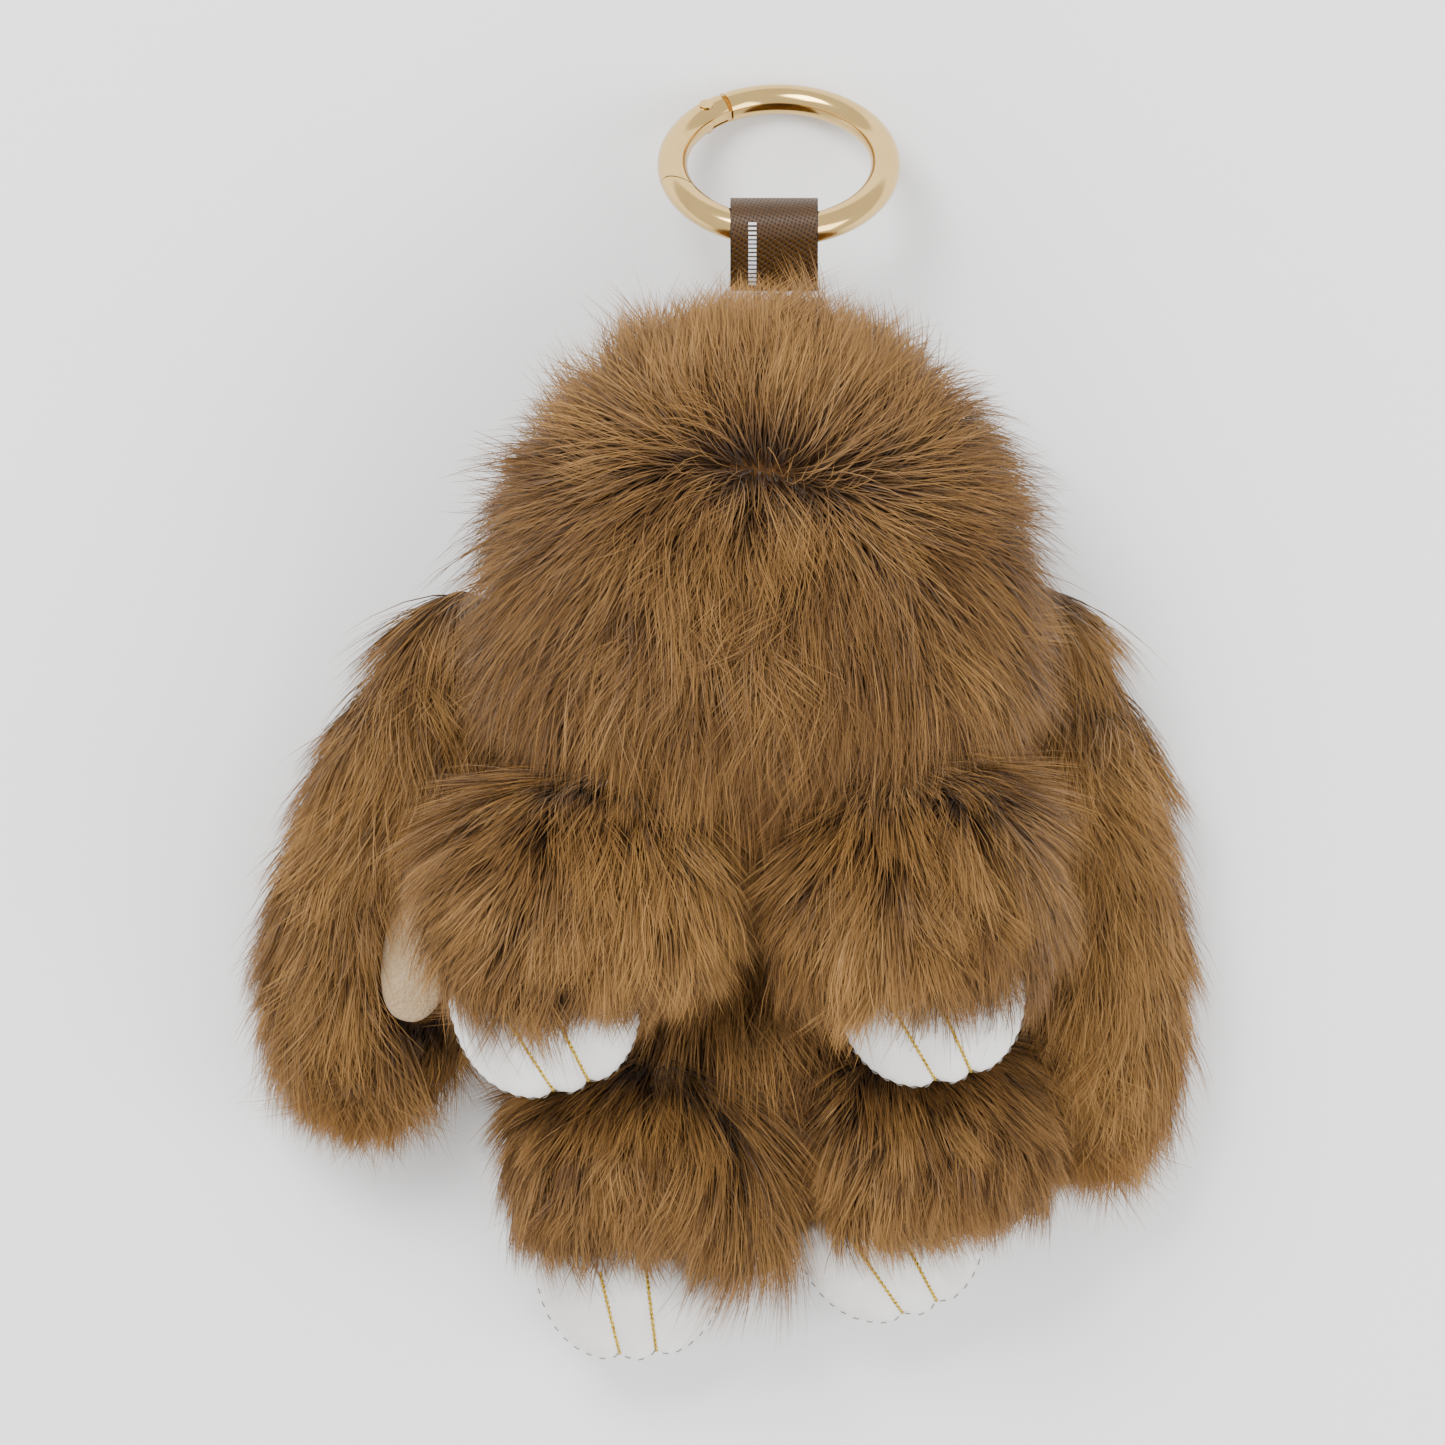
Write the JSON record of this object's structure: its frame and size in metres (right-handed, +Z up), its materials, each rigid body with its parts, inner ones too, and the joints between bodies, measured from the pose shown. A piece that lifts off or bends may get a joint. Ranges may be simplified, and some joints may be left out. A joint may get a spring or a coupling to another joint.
{
  "type": "plush keychain",
  "caption": "Furry bunny plush with floppy ears and leather paws, hung by a leather strap from a spring-gate key ring.",
  "frame": {"origin": "on the table, at the middle of the charm's length and width as it lies on its back", "axes": "+Z up from the table, +Y from the feet to the head and the key ring, +X to the right looking down on its face"},
  "size_m": [0.1278, 0.1752, 0.0648],
  "materials": {
    "fur": "matte",
    "stuffing": "matte",
    "ear_lining": "matte",
    "white_leather": "satin",
    "gold_thread": "satin",
    "seam_thread": "matte",
    "strap_leather": "satin",
    "strap_lining": "matte",
    "strap_thread": "matte",
    "gold_plate": "polished",
    "steel": "satin"
  },
  "bodies": {
    "plush": {"head_fur": "fur", "head_stuffing": "stuffing", "body_fur": "fur", "body_stuffing": "stuffing"},
    "left_ear": {"left_ear_fur": "fur", "left_ear_lining": "ear_lining"},
    "right_ear": {"right_ear_fur": "fur", "right_ear_lining": "ear_lining"},
    "left_arm": {"left_arm_fur": "fur", "left_arm_stuffing": "stuffing", "left_arm_paw_stuffing": "stuffing", "left_arm_paw_upper": "white_leather", "left_arm_paw_sole": "white_leather", "left_arm_paw_threads": "gold_thread", "left_arm_paw_stitching": "seam_thread"},
    "right_arm": {"right_arm_fur": "fur", "right_arm_stuffing": "stuffing", "right_arm_paw_stuffing": "stuffing", "right_arm_paw_upper": "white_leather", "right_arm_paw_sole": "white_leather", "right_arm_paw_threads": "gold_thread", "right_arm_paw_stitching": "seam_thread"},
    "left_leg": {"left_leg_fur": "fur", "left_leg_stuffing": "stuffing", "left_leg_paw_stuffing": "stuffing", "left_leg_paw_upper": "white_leather", "left_leg_paw_sole": "white_leather", "left_leg_paw_threads": "gold_thread", "left_leg_paw_stitching": "seam_thread"},
    "right_leg": {"right_leg_fur": "fur", "right_leg_stuffing": "stuffing", "right_leg_paw_stuffing": "stuffing", "right_leg_paw_upper": "white_leather", "right_leg_paw_sole": "white_leather", "right_leg_paw_threads": "gold_thread", "right_leg_paw_stitching": "seam_thread"},
    "strap": {"strap_cover": "strap_leather", "strap_lining": "strap_lining", "strap_stitching": "strap_thread"},
    "ring": {"ring_body": "gold_plate"},
    "gate": {"ring_gate": "gold_plate", "gate_pin": "steel", "gate_push_pin": "steel", "gate_spring": "steel"}
  },
  "joints": [
    {"name": "left_ear_swing", "type": "hinge", "parent": "plush", "child": "left_ear", "pos_m": [-0.0425, 0.0155, 0.0105], "axis": [0, 0, -1], "range_deg": [0, 75]},
    {"name": "right_ear_swing", "type": "hinge", "parent": "plush", "child": "right_ear", "pos_m": [0.0425, 0.0155, 0.0105], "axis": [0, 0, 1], "range_deg": [0, 75]},
    {"name": "left_arm_lift", "type": "hinge", "parent": "plush", "child": "left_arm", "pos_m": [-0.0185, -0.031, 0.042], "axis": [-1, 0, 0], "range_deg": [0, 80]},
    {"name": "right_arm_lift", "type": "hinge", "parent": "plush", "child": "right_arm", "pos_m": [0.025, -0.032, 0.042], "axis": [-1, 0, 0], "range_deg": [0, 80]},
    {"name": "left_leg_lift", "type": "hinge", "parent": "plush", "child": "left_leg", "pos_m": [-0.011, -0.066, 0.016], "axis": [-1, 0, 0], "range_deg": [0, 60]},
    {"name": "right_leg_lift", "type": "hinge", "parent": "plush", "child": "right_leg", "pos_m": [0.0275, -0.0625, 0.016], "axis": [-1, 0, 0], "range_deg": [0, 60]},
    {"name": "strap_bend", "type": "hinge", "parent": "plush", "child": "strap", "pos_m": [0.0067, 0.0593, 0.02357], "axis": [1, 0, 0], "range_deg": [-30, 45], "stiffness_Nm_per_rad": 0.03},
    {"name": "ring_swing", "type": "hinge", "parent": "strap", "child": "ring", "pos_m": [0.0074, 0.06717, 0.02357], "axis": [1, 0, 0], "range_deg": [-40, 100]},
    {"name": "gate_open", "type": "hinge", "parent": "ring", "child": "gate", "pos_m": [-0.00252, 0.08301, 0.00502], "axis": [0, 0.7604, 0.6494], "range_deg": [0, 28], "stiffness_Nm_per_rad": 0.02, "springref_deg": -20.05}
  ]
}
